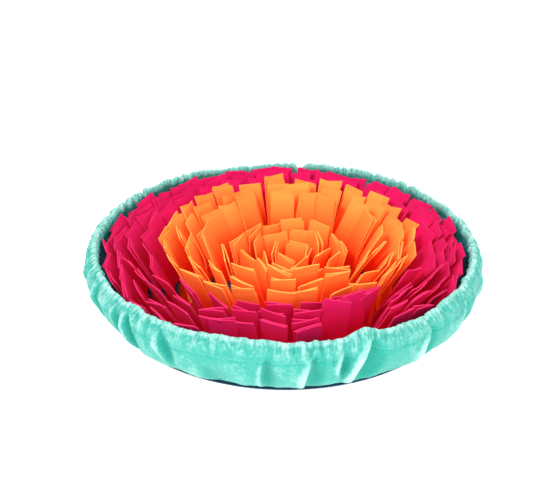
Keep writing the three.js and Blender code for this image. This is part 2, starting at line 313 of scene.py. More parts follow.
def felt(name, face, deep, cut):
    """Matt pressed felt, with a painted highlight where it is cut, painted red shade low between flaps."""
    material, tree, shader = new_material(name)
    place = add_node(tree, "ShaderNodeTexCoord").outputs["Object"]
    look = {"Vector": place, "Scale": 1 / TUFT_SIZE, "Detail": 4.0, "Roughness": 0.6}
    tufts = add_node(tree, "ShaderNodeTexNoise", None, look)
    look = {"Vector": place, "Scale": 1 / FIBRE_SIZE, "Detail": 2.0}
    fibres = add_node(tree, "ShaderNodeTexNoise", None, look)
    shade, is_cut, from_root = [
        add_node(tree, "ShaderNodeAttribute", {"attribute_name": label}).outputs["Fac"]
        for label in ("shade", "cut", "from_root")
    ]
    grained = add_node(tree, MATH, "MULTIPLY_ADD", {0: fibres, 1: FIBRE_SHARE, 2: shade})
    clouded = add_node(tree, MATH, "MULTIPLY_ADD", {0: tufts, 1: TUFT_SHARE, 2: grained})
    # painted red shade low down, where light has bounced between the flaps
    look = {"Value": from_root, "From Min": DEEP_BELOW, "From Max": LIT_ABOVE}
    lit = add_node(tree, "ShaderNodeMapRange", None, look)
    look = {"Factor": lit, "A": to_linear(deep), "B": to_linear(face)}
    bounce_shaded = add_node(tree, "ShaderNodeMix", {"data_type": "RGBA"}, look)
    # a painted highlight on the cut edges
    look = {"Factor": is_cut, "A": bounce_shaded, "B": to_linear(cut)}
    painted_tint = add_node(tree, "ShaderNodeMix", {"data_type": "RGBA"}, look)
    toned = add_node(tree, "ShaderNodeHueSaturation", None, {"Color": painted_tint, "Value": clouded})
    look = {"Height": fibres, "Strength": 0.35, "Distance": FIBRE_SIZE / 3}
    grain = add_node(tree, "ShaderNodeBump", None, look)
    tree.links.new(toned.outputs["Color"], shader.inputs["Base Color"])
    tree.links.new(grain.outputs["Normal"], shader.inputs["Normal"])
    shader.inputs["Roughness"].default_value = 0.95
    shader.inputs["Sheen Weight"].default_value = 0.01
    shader.inputs["Sheen Roughness"].default_value = 0.6
    shader.inputs["Specular IOR Level"].default_value = 0.02
    shader.inputs["Emission Color"].default_value = to_linear(deep)
    shader.inputs["Emission Strength"].default_value = BOUNCED_LIGHT
    return material


# face colour, painted red shade low down, and a painted highlight on the cut edges
magenta_felt = felt("needled_polyester_felt_magenta", "ce185a", "ca0422", "d62c64")
orange_felt = felt("needled_polyester_felt_orange", "f89040", "ee2e04", "fca54e")
print("felt:", magenta_felt.name, "and", orange_felt.name)

# %% [markdown]
# ## Soft shapes from a few numbers
# Creases and rim waves are soft bumps: 1 in the middle and 0 at both ends. Finer unevenness, such
# as the spacing of the gathers, comes from a closed row of random numbers with a fixed seed,
# joined smoothly round the bowl, so that the last one meets the first.

# %% Bumps, turns and wandering values
def bump(offset, half):
    """1 at the middle, falling softly to 0 at `half` to either side."""
    return np.where(np.abs(offset) < half, 0.5 + 0.5 * np.cos(np.pi * offset / half), 0.0)


def turn(start, end):
    """The shorter way round from one azimuth to another, in degrees."""
    return (end - start + 180) % 360 - 180


def ease(value, low, high):
    """0 below `low`, 1 above `high`, and a smooth way between them."""
    share = np.clip((value - low) / (high - low), 0, 1)
    return share * share * (3 - 2 * share)


def wander(share, knots, seed):
    """A smooth value from -1 to 1 that changes `knots` times on its way round."""
    values = np.random.default_rng(seed).uniform(-1, 1, knots)
    place = np.asarray(share) % 1.0 * knots
    before = np.floor(place).astype(int) % knots
    blend = ease(place - np.floor(place), 0, 1)
    return values[before] * (1 - blend) + values[(before + 1) % knots] * blend


def crumple(share, up, around, tall, seed):
    """Smooth uneven dents over the cloth, `around` by `tall` of them."""
    values = np.random.default_rng(seed).uniform(-1, 1, (around, tall + 2))
    x, y = share % 1.0 * around, np.clip(up, 0, 1) * tall
    i, j = np.floor(x).astype(int) % around, np.floor(y).astype(int)
    a, b = ease(x - np.floor(x), 0, 1), ease(y - np.floor(y), 0, 1)
    k = (i + 1) % around
    low = values[i, j] * (1 - a) + values[k, j] * a
    high = values[i, j + 1] * (1 - a) + values[k, j + 1] * a
    return low * (1 - b) + high * b


def uneven(ring, place, trait):
    """A repeatable number from -1 to 1 for one trait of one flap."""
    wave = math.sin(ring * 12.9898 + place * 78.233 + trait * 37.719) * 43758.5453
    return 2 * (wave - math.floor(wave)) - 1


print("half way up a bump:", float(bump(0.5, 1.0)))

# %% [markdown]
# ## A skin over rows of points
# Both cloth pieces are closed skins over a grid of points: columns go round the bowl, and rows
# go along a section of the cloth and back. The UV map gives the place on the flat cloth, in
# metres. It is set for each corner of each face, so the last column can meet the first one
# without squeezing the whole pattern into one face.

# %% Build a skin
def skin(name, points, around, along, material):
    """A closed skin. points is columns by rows by 3; around and along are its UV steps in metres."""
    columns, rows = points.shape[:2]
    i, j = np.meshgrid(np.arange(columns), np.arange(rows), indexing="ij")
    corners = [(i, j), (i + 1, j), (i + 1, j + 1), (i, j + 1)]
    faces = np.stack([(a % columns) * rows + b % rows for a, b in corners], axis=-1).reshape(-1, 4)
    flat = np.stack([np.stack([around * a, along[b]], axis=-1) for a, b in corners], axis=2)
    mesh = bpy.data.meshes.new(name)
    mesh.from_pydata(points.reshape(-1, 3), [], faces)
    mesh.uv_layers.new(name="cloth").data.foreach_set("uv", flat.astype(np.float32).ravel())
    mesh.materials.append(material)
    mesh.shade_smooth()
    face_outward(mesh)
    return add_object(name, mesh)


def face_outward(mesh):
    """Turns the faces so that they point out of the solid."""
    bm = bmesh.new()
    bm.from_mesh(mesh)
    bmesh.ops.recalc_face_normals(bm, faces=bm.faces)
    bm.to_mesh(mesh)
    bm.free()


print("skin: a grid of points with its cloth's UV map")

# %% [markdown]
# ## The gathered wall
# The wall is one strip of cloth. Its foot is sewn to the base, it swells out to the belly of the
# bowl, and its upper edge is turned inside to make a casing for elastic, which draws the rim in.
# Cloth simulation could gather it, but the result would drift from the solid that it stands for,
# so the wall is shaped by rules instead. First comes its section, a smooth curve through five
# points, from the foot to the top of the rim.

# %% The section of the wall
MM = 0.001
BASE_RADIUS = 0.185
BASE_THICKNESS = 0.003
CLEARANCE = 0.0003  # between pieces that touch
WALL_SECTION = [(0.183, 0.0033), (0.201, 0.017), (0.2095, 0.041), (0.2065, 0.053), (0.200, 0.062)]
BELLY_RADIUS = WALL_SECTION[2][0]


def smooth_path(points, samples=400):
    """Places and directions evenly along a smooth curve through the points."""
    knots = np.array(points)
    knots = np.vstack([knots[0], knots, knots[-1]])
    places = []
    for t in np.linspace(0, len(points) - 1, samples):
        k = min(int(t), len(points) - 2)
        s = t - k
        p0, p1, p2, p3 = knots[k : k + 4]
        leave, arrive = (p2 - p0) / 2, (p3 - p1) / 2
        places.append(
            (2 * s**3 - 3 * s**2 + 1) * p1
            + (s**3 - 2 * s**2 + s) * leave
            + (3 * s**2 - 2 * s**3) * p2
            + (s**3 - s**2) * arrive
        )
    places = np.array(places)
    walked = np.concatenate([[0], np.cumsum(np.linalg.norm(np.diff(places, axis=0), axis=1))])
    even = np.linspace(0, walked[-1], samples)
    places = np.stack([np.interp(even, walked, places[:, k]) for k in (0, 1)], axis=1)
    directions = np.gradient(places, axis=0)
    return places, directions / np.linalg.norm(directions, axis=1, keepdims=True), walked[-1]


path, path_direction, wall_height = smooth_path(WALL_SECTION)
path_share = np.linspace(0, 1, len(path))

print(f"the wall is {wall_height * 1000:.0f} mm from its foot to the rim")

# %% [markdown]
# ## Creases and rim waves
# A few deep creases reach down the wall where the slack cloth has nowhere else to go, and the rim
# dips and rises a little. Both are tables with a row for each, because no rule would put them
# where they are. A real crease is steep on one side and has a low ridge beside it.

# %% Table of creases
# azimuths at the top and foot, half width in degrees, depth in mm, and the stretch that it covers
Crease = namedtuple("Crease", "top foot half depth start stop")
CREASES = [
    Crease(212, 212, 24, 3.5, -0.3, 0.8),
    Crease(219.5, 220, 3, 4.5, 0.3, 0.95),
    Crease(224.5, 226, 3, 6, 0.2, 0.92),
    Crease(236.5, 241, 3, 5, 0.35, 0.95),
    Crease(249, 253, 7, 2.5, 0, 0.6),
    Crease(266, 266, 2.6, 4, 0.1, 0.82),
    Crease(279, 276.5, 3.4, 5, 0.05, 0.88),
    Crease(286, 285.5, 2.6, 4.5, 0.4, 0.86),
    Crease(295, 289, 5, 7.5, 0.1, 0.92),
    Crease(313.5, 310.5, 4, 5.5, 0.2, 0.86),
    Crease(331, 328, 3.5, 4, 0.2, 0.9),
    Crease(350, 347, 3, 4, 0.3, 0.95),
    Crease(14, 17, 4, 4.5, 0.2, 0.9),
    Crease(37, 34, 3.2, 5.5, 0.15, 0.92),
    Crease(58, 61, 5, 5, 0.1, 0.85),
    Crease(79, 78, 3, 4, 0.3, 0.95),
    Crease(101, 105, 4.5, 6.5, 0.1, 0.9),
    Crease(123, 121, 3.2, 4.5, 0.25, 0.92),
    Crease(146, 149, 4.6, 5, 0.15, 0.88),
    Crease(168, 166, 3, 4, 0.3, 0.95),
    Crease(193, 195, 3.6, 4.5, 0.2, 0.9),
    Crease(207, 208, 2.8, 3.5, 0.35, 0.95),
]

Wave = namedtuple("Wave", "azimuth half rise")
RIM_WAVES = [
    Wave(292, 7, 7.5),
    Wave(262, 22, 1.5),
    Wave(226, 9, 2),
    Wave(322, 9, 1.5),
    Wave(103, 26, -3),
    Wave(84.5, 3, -6),
    Wave(150, 12, -1.5),
]
print(len(CREASES), "creases and", len(RIM_WAVES), "rim waves")

# %% Shape of a crease
BROAD_HALF = 10  # degrees: a hollow that is wider than this is evenly round
CREASE_END = 0.35  # how narrow a crease is at its ends, as a share of its width
VALLEY = (-0.6, -0.15, 1.3)  # where it starts to fall, is deepest and has risen, in half widths
RIDGE_MIDDLE, RIDGE_HALF, RIDGE_SHARE = -0.8, 0.6, 0.35
SHARPNESS = 1.6  # how much deeper the steep form is, so that it looks as deep as a round one


def crease_depth(azimuth, up):
    """How far the creases push the wall inward, in metres."""
    depth = 0
    for crease in CREASES:
        middle = crease.foot + turn(crease.foot, crease.top) * up
        along = np.sqrt(bump(up - (crease.start + crease.stop) / 2, (crease.stop - crease.start) / 2))
        half = crease.half * (CREASE_END + (1 - CREASE_END) * along)
        across = turn(middle, azimuth) / half
        if crease.half > BROAD_HALF:
            depth = depth + crease.depth * along * bump(across, 1)
            continue
        valley = ease(across, VALLEY[0], VALLEY[1]) * (1 - ease(across, VALLEY[1], VALLEY[2]))
        ridge = RIDGE_SHARE * bump(across - RIDGE_MIDDLE, RIDGE_HALF)
        depth = depth + SHARPNESS * crease.depth * along * (valley - ridge)
    return depth * MM


deepest = crease_depth(np.arange(0, 360, 0.5), 0.5).max()
print(f"the deepest crease half way up the wall is {deepest * 1000:.1f} mm")

# %% [markdown]
# ## Puckers, folds and dents
# The elastic draws the cloth into fine puckers, which run together into softer folds below the
# casing, and slack cloth has broad swells and small dents. All of them are waves round the bowl
# whose spacing and depth wander, so that no two are alike.

# %% Puckers, folds and dents
HEM_START = 0.74  # where the casing begins, as a share of the way up the wall
PUCKERS, FOLDS, SWELLS = 246, 84, 27  # how many of each go round the bowl
RIDGE_MEAN = 0.6  # about the mean height of a wave's ridges, taken off so that the wall stays in place

# mean value, how far it wanders, how many times on its way round, and a seed
Wandering = namedtuple("Wandering", "mean swing knots seed")
PUCKER_SPACING = [Wandering(0, 0.9, 88, 1), Wandering(0, 0.5, 210, 2)]
PUCKER_SLANT = [Wandering(0, 1.6, 34, 9)]
PUCKER_DEPTH = [Wandering(1.2, 0.8, 52, 3)]
FOLD_SPACING = [Wandering(0, 1.2, 38, 4)]
FOLD_SLANT = [Wandering(0, 1.4, 30, 5)]
FOLD_DEPTH = [Wandering(1.9, 1.8, 31, 6)]
SWELL_SPACING = [Wandering(0, 0.9, 11, 7)]
SWELL_DEPTH = 1.1
LARGE_DENTS, SMALL_DENTS = (150, 6, 8), (390, 15, 12)  # how many round and up, and a seed
FOLDED_UP = (0.40, 0.86)  # shares of the way up between which the folds deepen
RIM_SHARE, HEM_SHARE, HEM_REACH = 0.95, 0.35, 0.16  # how deep puckers are at the rim and at the hem
# azimuth, half width in degrees, and how much tighter than elsewhere the cloth is gathered there
TIGHTNESS = [(175, 70, 1.1), (258, 50, -0.45), (85, 55, -0.55)]
GATHERED_UP = (0.78, 0.95)  # shares of the way up between which the puckers deepen


def wandering(share, parts):
    """The sum of some wandering values, in turns round the bowl or in mm."""
    return sum(part.mean + part.swing * wander(share, part.knots, part.seed) for part in parts)


def puckers(share, up):
    """The narrow puckers that the elastic makes, in mm."""
    tight = 1 + sum(more * bump(turn(middle, 360 * share), half) for middle, half, more in TIGHTNESS)
    slant = wandering(share, PUCKER_SLANT) * (1 - up) / (1 - HEM_START)
    place = PUCKERS * share + wandering(share, PUCKER_SPACING) + slant
    ridge = np.abs(np.sin(math.pi * place)) ** 0.9
    reach = RIM_SHARE * ease(up, *GATHERED_UP) + HEM_SHARE * bump(up - HEM_START, HEM_REACH)
    return tight * wandering(share, PUCKER_DEPTH) * reach * (ridge - RIDGE_MEAN)


def folds(share, up):
    """The softer folds below the casing, in mm."""
    place = FOLDS * share + wandering(share, FOLD_SPACING) + (1 - up) * wandering(share, FOLD_SLANT)
    depth = wandering(share, FOLD_DEPTH) * ease(up, *FOLDED_UP)
    return depth * (np.abs(np.sin(math.pi * place)) - RIDGE_MEAN)


def dents(share, up):
    """Broad swells, and uneven dents of two sizes, in mm."""
    swell = np.cos(math.tau * (SWELLS * share + wandering(share, SWELL_SPACING) + 0.3 * up))
    large = crumple(share, up, *LARGE_DENTS) * ease(up, 0.0, 0.15)
    small = crumple(share, up, *SMALL_DENTS) * (0.25 + 0.45 * ease(up, *GATHERED_UP))
    return SWELL_DEPTH * bump(up - 0.5, 0.55) * swell + large + small


around = np.arange(0, 1, 0.001)
print(f"puckers at the rim are up to {np.ptp(puckers(around, 1.0)):.1f} mm deep")

# %% [markdown]
# ## Points of the wall
# The casing is a little fuller than the wall, and its stitching pulls a groove into the cloth.
# Gathers push the rim up and let it down as well as in and out, so the rim isn't one even curve.
# With these, one function can say where any point of the cloth is, and another how light its
# tint is painted, from how far it stands out.

# %% Relief of the wall
RIM_WAVER = [Wandering(0, 1.3, 57, 10), Wandering(0, 0.8, 130, 11), Wandering(0, 0.6, 370, 13)]
CALM_AZIMUTH, CALM_HALF, CALMED = 90, 55, 0.5  # round this azimuth the rim is more even
GROOVE_HALF = 0.035


def wall_relief(share, up):
    """How far the cloth stands out from the smooth wall, in mm."""
    puff = bump(up - (HEM_START + 1) / 2, (1 - HEM_START) / 2)
    groove = bump(up - HEM_START, GROOVE_HALF)
    return puckers(share, up) + folds(share, up) + dents(share, up) + puff - groove


def rim_scallops(share, up):
    """How far the gathers lift the rim or let it down, in mm."""
    scallops = 0.8 * puckers(share, up) + folds(share, up) + wandering(share, RIM_WAVER)
    calm = 1 - CALMED * bump(turn(CALM_AZIMUTH, 360 * share), CALM_HALF)
    return scallops * ease(up, 0.75, 1) * calm


print(f"scallops of the rim are up to {np.ptp(rim_scallops(around, 1.0)):.1f} mm high")

# %% Points of the wall
HEM_THICKNESS = 0.0050
# painted light on smooth cloth, the painted highlight that 1 mm of relief adds, and the painted
# shade that 1 mm of a crease takes off
SMOOTH_PAINTED_LIGHT, BY_RELIEF, BY_CREASE = 0.47, 0.07, 0.15
RIM_HIGHLIGHT = 0.30  # painted highlight on the very top of the rim, where the casing turns over
INSIDE_PAINTED_LIGHT = 0.85  # painted light kept inside near the rim, against the outside; further down it is painted shade


def wall_points(share, up, depth, beyond):
    """Points of the wall, in metres.

    share is how far round they are, up how far up the section, depth how far behind its face,
    and beyond how far past that place along it.
    """
    share, up, depth, beyond = np.broadcast_arrays(share, up, depth, beyond)
    azimuth = 360 * share
    place = [np.interp(up, path_share, path[:, k]) for k in (0, 1)]
    along = [np.interp(up, path_share, path_direction[:, k]) for k in (0, 1)]
    radius = place[0] - depth * along[1] + beyond * along[0]
    radius = radius - crease_depth(azimuth, up) + wall_relief(share, up) * MM
    lift = sum(wave.rise * bump(turn(wave.azimuth, azimuth), wave.half) for wave in RIM_WAVES)
    height = place[1] + depth * along[0] + beyond * along[1]
    height = height + (lift * ease(up, 0.3, 1) + rim_scallops(share, up)) * MM
    angle = np.radians(azimuth)
    return np.stack([radius * np.cos(angle), radius * np.sin(angle), height], axis=-1)


def wall_painted_light(share, up, depth):
    """0 for painted shade in a valley or low inside the bowl, 1 for a painted highlight on a ridge."""
    relief, crease = wall_relief(share, up), crease_depth(360 * share, up) / MM
    outward = SMOOTH_PAINTED_LIGHT + BY_RELIEF * relief - BY_CREASE * crease
    # a painted highlight on the very top of the rim
    outward = outward + RIM_HIGHLIGHT * ease(up, 0.93, 1.0)
    # inside, painted shade that deepens further down
    inside = INSIDE_PAINTED_LIGHT * ease(up, 0.35, 0.75)
    return np.clip(outward * np.where(depth < HEM_THICKNESS / 2, 1.0, inside), 0, 1)


rim_height = wall_points(around, 1.0, 0.0, 0.0)[:, 2]
print(f"the rim is {rim_height.min() * 1000:.0f} to {rim_height.max() * 1000:.0f} mm high")

# %% [markdown]
# ## Sewing the wall
# The skin's rows go up the outside, over the rolled edge, down the casing inside, and on down the
# inner face of the cloth to its foot. A closed skin shows the same cloth from both sides, and
# gives the casing the thickness of cloth and elastic. Three attributes go with it for the shader.

# %% Sew the wall
WALL_COLUMNS = 1880
LOWER_ROWS, UPPER_ROWS, RIM_ROWS, CASING_ROWS, INNER_ROWS = 14, 18, 5, 7, 9
CLOTH_THICKNESS = 0.0013
HEM_FULLNESS = 0.0035  # how much the elastic and the bunched cloth fill the casing out inside
RIM_ROLL = 0.0020  # how far the rolled edge rises over the end of the section

outer_up = np.concatenate([
    np.linspace(0, HEM_START - 0.04, LOWER_ROWS),
    np.linspace(HEM_START - 0.02, 1, UPPER_ROWS),
])
roll = np.linspace(0, math.pi, RIM_ROWS + 2)[1:-1]
casing_up = np.linspace(1, HEM_START + 0.01, CASING_ROWS)
casing_fullness = HEM_FULLNESS * np.sin(np.linspace(0.1, 1, CASING_ROWS) * math.pi)
inner_up = np.linspace(HEM_START - 0.01, 0, INNER_ROWS)
section_up = np.concatenate([outer_up, np.ones(RIM_ROWS), casing_up, inner_up])
section_depth = np.concatenate([
    np.zeros(len(outer_up)),
    HEM_THICKNESS / 2 * (1 - np.cos(roll)),
    HEM_THICKNESS + casing_fullness,
    np.full(INNER_ROWS, CLOTH_THICKNESS),
])
section_beyond = np.zeros(len(section_up))
section_beyond[len(outer_up) : len(outer_up) + RIM_ROWS] = RIM_ROLL * np.sin(roll)

round_share = np.arange(WALL_COLUMNS)[:, None] / WALL_COLUMNS
points = wall_points(round_share, section_up, section_depth, section_beyond)
steps = np.linalg.norm(np.diff(points[0], axis=0, append=points[0][:1]), axis=1)
cloth_along = np.concatenate([[0], np.cumsum(steps)])
cloth_around = math.tau * BELLY_RADIUS / WALL_COLUMNS
wall = skin("gathered_wall", points, cloth_around, cloth_along, mint_cloth)
# painted light and shade for the tint, painted blue shade low inside, and where the tucks are
for name, values in {
    "raised": wall_painted_light(round_share, section_up, section_depth),
    "shaded": np.where(section_depth > 0, 1 - ease(section_up, 0.45, 0.85), 0.0),
    "gathered": ease(section_up, 0.80, 0.97),
}.items():
    everywhere = np.broadcast_to(values, points.shape[:2]).astype(np.float32)
    wall.data.attributes.new(name, "FLOAT", "POINT").data.foreach_set("value", everywhere.ravel())
print("wall:", len(wall.data.polygons), "faces")

# %% [markdown]
# ## The base
# The base is a flat disc of navy cloth. Its edge is a soft roll rather than a sharp corner, so
# the section is a thin lens with a round end, turned about the middle of the bowl.

# %% Cut the base
BASE_COLUMNS = 240
FLAT_STEPS = 14
EDGE_STEPS = 8
EDGE_WIDTH = 0.010  # how far from the edge the even steps of the flat part end
PINHOLE = 0.0004  # the section starts this far from the middle, and one face closes the rest


def base_points():
    """The base's section, from the middle of the underside round the edge to the middle on top."""
    half = BASE_THICKNESS / 2
    bend = np.linspace(-math.pi / 2, math.pi / 2, EDGE_STEPS)
    flat = np.linspace(PINHOLE, BASE_RADIUS - EDGE_WIDTH, FLAT_STEPS)
    under, top = np.zeros(FLAT_STEPS), np.full(FLAT_STEPS, BASE_THICKNESS)
    radius = np.concatenate([flat, BASE_RADIUS - half + half * np.cos(bend), flat[::-1]])
    height = np.concatenate([under, half + half * np.sin(bend), top])
    angle = math.tau * np.arange(BASE_COLUMNS)[:, None] / BASE_COLUMNS
    return np.stack(np.broadcast_arrays(radius * np.cos(angle), radius * np.sin(angle), height), -1)


def disc(name, points, material):
    """Closes the turned section at its middle and lays its UV map flat."""
    columns, rows = points.shape[:2]
    mesh = bpy.data.meshes.new(name)
    bm = bmesh.new()
    grid = [[bm.verts.new(point) for point in column] for column in points]
    for i in range(columns):
        here, there = grid[i], grid[(i + 1) % columns]
        for j in range(rows - 1):
            bm.faces.new((here[j], there[j], there[j + 1], here[j + 1]))
    bm.faces.new([column[0] for column in grid])
    bm.faces.new([column[-1] for column in grid])
    bmesh.ops.recalc_face_normals(bm, faces=bm.faces)
    uv = bm.loops.layers.uv.new("cloth")
    for face in bm.faces:
        face.smooth = True
        for loop in face.loops:
            loop[uv].uv = loop.vert.co.xy
    bm.to_mesh(mesh)
    bm.free()
    mesh.materials.append(material)
    return add_object(name, mesh)


base = disc("base_cloth", base_points(), navy_cloth)
print("base:", len(base.data.polygons), "faces")

# %% [markdown]
# ## Rings of felt
# Each ring of the fringe is a row of felt strips, each folded in half at its root and sewn to
# a narrow backing, so that two layers stand up from every place. The solids have one plain flap
# for each place, worked out from a table of rings. The same table is used here, and its flaps
# get two layers, a knee and looser poses as well, which would be too fine for a solid.

# %% Table of rings
FLAP_WIDTH = 0.0255
FELT_THICKNESS = 0.0012
BACKING_WIDTH = {"magenta": 0.0108, "orange": 0.0150, "centre": 0.0168}
BACKING_THICKNESS = 0.0015

# root, tip and rise in metres: roots and tips lie on circles moved along +X by shift
Ring = namedtuple("Ring", "name flaps arcs turn shift root tip rise play")
RINGS = [
    Ring("magenta_row1", 38, 6, 0.0, 0.000, 0.166, 0.187, 0.058, 0.7),
    Ring("magenta_row2", 35, 6, 5.1, 0.001, 0.153, 0.177, 0.061, 0.8),
    Ring("magenta_row3", 32, 6, 2.0, 0.003, 0.140, 0.165, 0.064, 1.0),
    Ring("magenta_row4", 29, 6, 0.0, 0.005, 0.127, 0.151, 0.066, 1.2),
    Ring("orange_row1", 26, 6, -6.5, 0.007, 0.112, 0.133, 0.070, 1.4),
    Ring("orange_row2", 22, 6, -6.6, 0.008, 0.094, 0.115, 0.072, 1.6),
    Ring("orange_row3", 18, 9, 10.0, 0.008, 0.076, 0.095, 0.074, 1.6),
    Ring("centre_row1", 12, 4, 8.0, 0.008, 0.053, 0.054, 0.056, 2.0),
    Ring("centre_row2", 8, 4, 0.0, 0.008, 0.034, 0.036, 0.053, 2.0),
    Ring("centre_row3", 4, 4, 20.0, 0.008, 0.017, 0.018, 0.050, 1.2),
]

Odd = namedtuple("Odd", "tip rise sway twist")
ODD_FLAPS = {
    ("magenta_row1", 26): Odd(0.173, 0.065, 0, 2),
    ("magenta_row1", 27): Odd(0.181, 0.051, 0, 0),
    ("magenta_row1", 28): Odd(0.181, 0.050, 0, 0),
    ("magenta_row1", 29): Odd(0.174, 0.064, -6, -2),
    ("magenta_row1", 30): Odd(0.184, 0.052, 0, 0),
    ("magenta_row1", 31): Odd(0.184, 0.052, 0, 0),
    ("magenta_row2", 27): Odd(0.158, 0.079, 0, 2),
    ("magenta_row2", 28): Odd(0.154, 0.080, -11, 2),
    ("magenta_row3", 25): Odd(0.147, 0.073, 0, 0),
    ("magenta_row3", 26): Odd(0.146, 0.072, 6, 0),
    ("magenta_row4", 23): Odd(0.137, 0.070, 0, 0),
    ("magenta_row4", 24): Odd(0.138, 0.069, 0, 0),
}
print(sum(ring.flaps for ring in RINGS), "folded strips in", len(RINGS), "rings")

# %% [markdown]
# ## How each flap stands
# A folded strip of felt is stiff near its root and leans outward above a knee, over the next
# ring. Those in front stand up more, and those on the left hardly bend. No two are alike, so
# each flap strays from its ring's rule by uneven numbers of its own, and a few at the front are
# placed one by one. A simulation could drop them, but not so that they lie as these do.

# %% Stance of each flap
FRONT_AZIMUTH, FRONT_HALF, FRONT_STAND = 280, 65, 0.4  # there the flaps stand more upright
UPRIGHT_AZIMUTH, UPRIGHT_HALF = 205, 95  # on the left they hardly bend at the knee
SIDE_TURN = {"left": -6, "right": -5}  # degrees that flaps at the sides turn to the front
SPIN = {"magenta": 18, "orange": 21, "centre": 22}  # degrees of uneven turning

STAGGER, STAGGER_BY_PLAY = 1.4, 0.4  # mm that every second flap leans out further, the others less
STAND_STIFFNESS, SIDE_STIFFNESS = 1.3, 0.75  # how much of its give a flap loses there

# how far a flap strays, in mm or degrees: which trait, a fixed part, and one that grows with play
STRAYING = {
    "tip": (1, 0, 2.0),
    "rise": (2, 1.0, 1.8),
    "sway": (3, 2.5, 2.6),
    "twist": (4, 0, 6.0),
    "stretch": (7, 1.0, 0),
    "shear": (8, 1.0, 0),
    "fan": (9, 4.0, 0),
    "curl": (10, 0, 1.5),
    "cup": (11, 0.9, 0),
}
SPIN_TRAIT = 5
Stance = namedtuple("Stance", "outward tip rise sway twist heading give stray")


def level_turn(vector, degrees):
    """Turns a vector about the vertical."""
    return Matrix.Rotation(math.radians(degrees), 3, "Z") @ vector


def fringe_of(ring):
    """Which fringe a ring belongs to: magenta, orange or centre."""
    return ring.name.split("_")[0]


def flap_stance(ring, row, place):
    """Where one flap reaches, how it turns, and how much it gives at the knee."""
    azimuth = (place + 0.5) * 360 / ring.flaps + ring.turn
    stray = {
        name: (fixed + by_play * ring.play) * uneven(row, place, trait)
        for name, (trait, fixed, by_play) in STRAYING.items()
    }
    stand = FRONT_STAND * float(bump(turn(FRONT_AZIMUTH, azimuth), FRONT_HALF))
    upright_side = float(bump(turn(UPRIGHT_AZIMUTH, azimuth), UPRIGHT_HALF))
    lean = (ring.tip - ring.root) * (1 - stand)
    stagger = (1 if place % 2 else -1) * (STAGGER + STAGGER_BY_PLAY * ring.play)
    tip = ring.root + lean + (stagger + stray["tip"]) * MM
    rise = math.sqrt(ring.rise**2 + (ring.tip - ring.root) ** 2 - lean**2) + stray["rise"] * MM
    sway, twist = stray["sway"], stray["twist"]
    if (ring.name, place) in ODD_FLAPS:
        tip, rise, sway, twist = ODD_FLAPS[ring.name, place]
    outward = level_turn(Vector((1, 0, 0)), azimuth)
    side = SIDE_TURN["left"] if outward.x < 0 else SIDE_TURN["right"]
    heading = -side * outward.x * abs(outward.x) + SPIN[fringe_of(ring)] * uneven(row, place, SPIN_TRAIT)
    give = (1 - STAND_STIFFNESS * stand) * (1 - SIDE_STIFFNESS * upright_side)
    return Stance(outward, tip, rise, sway, twist, heading, give, stray)


first = flap_stance(RINGS[0], 0, 0)
print(f"the first flap reaches {first.tip * 1000:.0f} mm out and {first.rise * 1000:.0f} mm up")

# %% [markdown]
# ## From a flap to its two layers
# Each layer becomes one point for Geometry Nodes, with attributes that say where it starts and
# where it reaches, how far its knee lies off the straight line, and how it turns, curls and cups.
# The two layers lie close together, and part toward their tips where they fan out.

# %% Pose each layer
ROOT_DEPTH = 0.0008  # how far a flap's root is sunk into its backing
ROOT_INSET = 0.0038  # flaps are sewn on near the inner edge of their backing
BOW = 0.11  # how far the knee lies back towards the middle, as a share of the flap's length
ARCH = 0.08  # and how far it is raised, so that the flap above it leans out further
LAYER_GAP = 1.5  # mm between the middles of a strip's two layers at the root
TIP_GAP = 1.4  # mm, at their tips, where they don't fan out
FAN_ROOM = 0.225  # mm that each layer moves away for each degree that it fans out
LAYER_STEP = 0.6  # mm that the outer layer rises over the middle, and the inner stays under it
LAYER_DROP = 0.8  # mm that both tips lie below the height that the stance gives

POSE_KINDS = {
    **dict.fromkeys(["root", "reach", "sag", "across", "swing"], "FLOAT_VECTOR"),
    **dict.fromkeys(["curl", "cup"], "FLOAT"),
}


def layer_pose(ring, stance, layer):
    """The attributes of one layer: layer is -1 for the inner one and 1 for the outer one."""
    sideways = level_turn(stance.outward, 90)
    inset = 0 if fringe_of(ring) == "centre" else ROOT_INSET
    middle = Vector((ring.shift, 0, 0))
    foot = BASE_THICKNESS + CLEARANCE + BACKING_THICKNESS - ROOT_DEPTH
    start = middle + stance.outward * (ring.root - inset + layer * LAYER_GAP / 2 * MM)
    start.z = foot
    away = TIP_GAP / 2 + FAN_ROOM * abs(stance.stray["fan"])
    end = middle + stance.outward * (stance.tip + layer * away * MM)
    end = end + sideways * (stance.sway + layer * stance.stray["shear"]) * MM
    end.z = stance.rise + (layer * (LAYER_STEP + stance.stray["stretch"]) - LAYER_DROP) * MM
    across = level_turn(sideways, stance.heading)
    tip_across = level_turn(sideways, stance.heading + stance.twist + layer * stance.stray["fan"])
    bend = stance.give * (end - start).length
    return {
        "root": start,
        "reach": end - start,
        "sag": stance.outward * (-BOW * bend) + Vector((0, 0, ARCH * bend)),
        "across": across,
        "swing": tip_across - across,
        "curl": stance.stray["curl"] * MM,
        "cup": stance.stray["cup"] * MM,
    }


def layer_poses(ring, row):
    """The poses of both layers of each strip of a ring."""
    stances = [flap_stance(ring, row, place) for place in range(ring.flaps)]
    return [layer_pose(ring, stance, layer) for stance in stances for layer in (-1, 1)]


print("layers in the outer ring:", len(layer_poses(RINGS[0], 0)))

# %% [markdown]
# ## A fringe grown with Geometry Nodes
# Over four hundred layers of felt are one rule repeated, which is what Geometry Nodes are for. A
# plain strip is put on each point and made real, and then every corner of every strip is moved.
# Its own place in the plain strip says how far up and across it is, and the attributes of its
# point say the rest. A tree is easier to follow in parts, so each part below is a short function.

